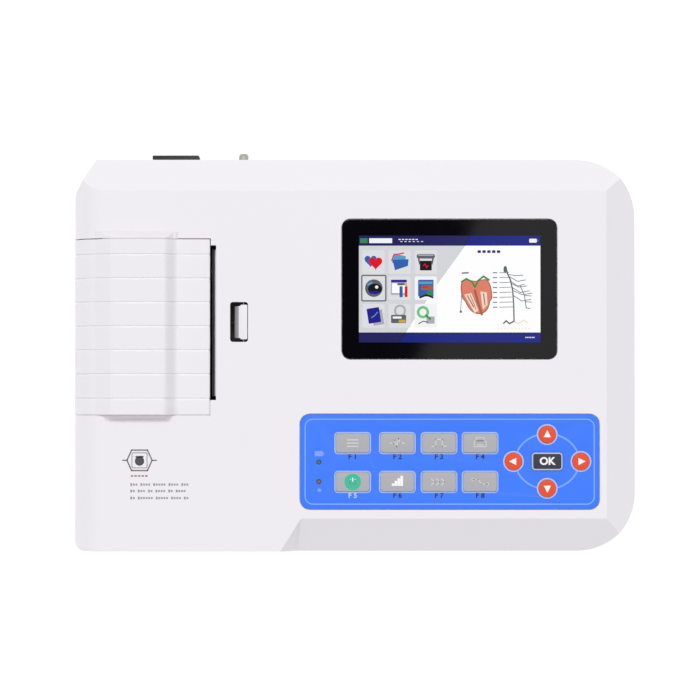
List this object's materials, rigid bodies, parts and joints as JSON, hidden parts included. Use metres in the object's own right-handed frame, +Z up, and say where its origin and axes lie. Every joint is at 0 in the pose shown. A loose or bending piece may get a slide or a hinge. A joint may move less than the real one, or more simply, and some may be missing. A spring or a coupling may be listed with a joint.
{
  "type": "ecg machine",
  "caption": "White portable ECG recorder with a colour screen, a blue membrane keypad, orange arrow keys and a side paper printer under a hinged door.",
  "frame": {"origin": "centre of the bounding box at the feet's lower faces", "axes": "+Z up, +X to the operator's right along the length, +Y towards the connectors at the back"},
  "size_m": [0.315, 0.224, 0.077],
  "materials": {
    "case_white": "fine satin moulded ABS",
    "door_white": "satin moulded ABS",
    "screw_steel": "zinc-plated",
    "pin_steel": "ground",
    "motor_steel": "plain",
    "foot_rubber": "matte",
    "platen_rubber": "ground matte",
    "gear_nylon": "moulded",
    "paper": "smooth thermal coat",
    "black_plastic": "fine texture",
    "heat_sink_aluminium": "extruded",
    "head_ceramic": "glazed",
    "circuit_board": "solder mask",
    "battery_sleeve": "shrink sleeve",
    "display_glass": "polished black glass",
    "display_module": "metal-backed panel",
    "overlay_blue": "printed polyester film",
    "key_grey": "satin",
    "key_orange": "satin",
    "key_navy": "satin",
    "light_green": "clear lens",
    "light_amber": "clear lens"
  },
  "bodies": {
    "case": {"battery_cover": "case_white", "battery_cover_screw": "screw_steel", "battery_light": "light_amber", "battery_pack": "battery_sleeve", "bottom_cover": "case_white", "case_screw_1": "screw_steel", "case_screw_2": "screw_steel", "case_screw_3": "screw_steel", "case_screw_4": "screw_steel", "display_glass": "display_glass", "display_module": "display_module", "door_hinge_pin": "pin_steel", "ground_terminal": "pin_steel", "head_heat_sink": "heat_sink_aluminium", "idler_stud": "pin_steel", "keypad_board": "circuit_board", "keypad_overlay": "overlay_blue", "lever_pin": "pin_steel", "lever_spring": "pin_steel", "lever_well": "black_plastic", "main_board": "circuit_board", "mains_inlet": "black_plastic", "mains_light": "light_green", "mains_transformer": "motor_steel", "patient_connector": "black_plastic", "power_supply_board": "circuit_board", "printer_bay": "black_plastic", "roll_axle": "gear_nylon", "rubber_foot_1": "foot_rubber", "rubber_foot_2": "foot_rubber", "rubber_foot_3": "foot_rubber", "rubber_foot_4": "foot_rubber", "speaker": "black_plastic", "stepper_motor": "motor_steel", "thermal_print_head": "head_ceramic", "top_cover": "case_white", "usb_socket": "pin_steel"},
    "door": {"paper_door": "door_white"},
    "platen": {"platen_roller": "platen_rubber", "platen_shaft": "pin_steel", "platen_gear": "gear_nylon"},
    "idler": {"idler_gear": "gear_nylon"},
    "pinion": {"motor_pinion": "gear_nylon"},
    "roll": {"paper_roll": "paper", "paper_core": "gear_nylon"},
    "lever": {"release_lever": "case_white"},
    "key_menu": {"key_menu": "key_grey"},
    "key_mode": {"key_mode": "key_grey"},
    "key_calibrate": {"key_calibrate": "key_grey"},
    "key_print": {"key_print": "key_grey"},
    "key_power": {"key_power": "key_grey"},
    "key_gain": {"key_gain": "key_grey"},
    "key_speed": {"key_speed": "key_grey"},
    "key_lead": {"key_lead": "key_grey"},
    "key_up": {"key_up": "key_orange"},
    "key_down": {"key_down": "key_orange"},
    "key_left": {"key_left": "key_orange"},
    "key_right": {"key_right": "key_orange"},
    "key_set": {"key_set": "key_navy"}
  },
  "joints": [
    {"name": "door_hinge", "type": "hinge", "parent": "case", "child": "door", "pos_m": [-0.153, 0.0158, 0.0485], "axis": [0, -1, 0], "range_deg": [0, 90]},
    {"name": "lever_release", "type": "hinge", "parent": "case", "child": "lever", "pos_m": [-0.062, 0.01615, 0.061], "axis": [0, -1, 0], "range_deg": [0, 20], "stiffness_Nm_per_rad": 0.05, "springref_deg": -2.86},
    {"name": "platen_spin", "type": "hinge", "parent": "door", "child": "platen", "pos_m": [-0.086, 0.0158, 0.062], "axis": [0, 1, 0], "continuous": true},
    {"name": "idler_spin", "type": "hinge", "parent": "case", "child": "idler", "pos_m": [-0.086, 0.061, 0.0478], "axis": [0, 1, 0], "continuous": true},
    {"name": "pinion_spin", "type": "hinge", "parent": "case", "child": "pinion", "pos_m": [-0.08046, 0.061, 0.03693], "axis": [0, 1, 0], "continuous": true},
    {"name": "roll_spin", "type": "hinge", "parent": "case", "child": "roll", "pos_m": [-0.119, 0.0158, 0.036], "axis": [0, 1, 0], "continuous": true},
    {"name": "press_menu", "type": "slide", "parent": "case", "child": "key_menu", "axis": [0, 0, -1], "range_m": [0, 0.0006], "stiffness_N_per_m": 800, "springref_m": -0.0002},
    {"name": "press_mode", "type": "slide", "parent": "case", "child": "key_mode", "axis": [0, 0, -1], "range_m": [0, 0.0006], "stiffness_N_per_m": 800, "springref_m": -0.0002},
    {"name": "press_calibrate", "type": "slide", "parent": "case", "child": "key_calibrate", "axis": [0, 0, -1], "range_m": [0, 0.0006], "stiffness_N_per_m": 800, "springref_m": -0.0002},
    {"name": "press_print", "type": "slide", "parent": "case", "child": "key_print", "axis": [0, 0, -1], "range_m": [0, 0.0006], "stiffness_N_per_m": 800, "springref_m": -0.0002},
    {"name": "press_power", "type": "slide", "parent": "case", "child": "key_power", "axis": [0, 0, -1], "range_m": [0, 0.0006], "stiffness_N_per_m": 800, "springref_m": -0.0002},
    {"name": "press_gain", "type": "slide", "parent": "case", "child": "key_gain", "axis": [0, 0, -1], "range_m": [0, 0.0006], "stiffness_N_per_m": 800, "springref_m": -0.0002},
    {"name": "press_speed", "type": "slide", "parent": "case", "child": "key_speed", "axis": [0, 0, -1], "range_m": [0, 0.0006], "stiffness_N_per_m": 800, "springref_m": -0.0002},
    {"name": "press_lead", "type": "slide", "parent": "case", "child": "key_lead", "axis": [0, 0, -1], "range_m": [0, 0.0006], "stiffness_N_per_m": 800, "springref_m": -0.0002},
    {"name": "press_up", "type": "slide", "parent": "case", "child": "key_up", "axis": [0, 0, -1], "range_m": [0, 0.0006], "stiffness_N_per_m": 800, "springref_m": -0.0002},
    {"name": "press_down", "type": "slide", "parent": "case", "child": "key_down", "axis": [0, 0, -1], "range_m": [0, 0.0006], "stiffness_N_per_m": 800, "springref_m": -0.0002},
    {"name": "press_left", "type": "slide", "parent": "case", "child": "key_left", "axis": [0, 0, -1], "range_m": [0, 0.0006], "stiffness_N_per_m": 800, "springref_m": -0.0002},
    {"name": "press_right", "type": "slide", "parent": "case", "child": "key_right", "axis": [0, 0, -1], "range_m": [0, 0.0006], "stiffness_N_per_m": 800, "springref_m": -0.0002},
    {"name": "press_set", "type": "slide", "parent": "case", "child": "key_set", "axis": [0, 0, -1], "range_m": [0, 0.0006], "stiffness_N_per_m": 800, "springref_m": -0.0002}
  ],
  "couplings": [
    {"joint": "idler_spin", "follows": "platen_spin", "ratio": -0.75},
    {"joint": "pinion_spin", "follows": "platen_spin", "ratio": 1.5}
  ]
}
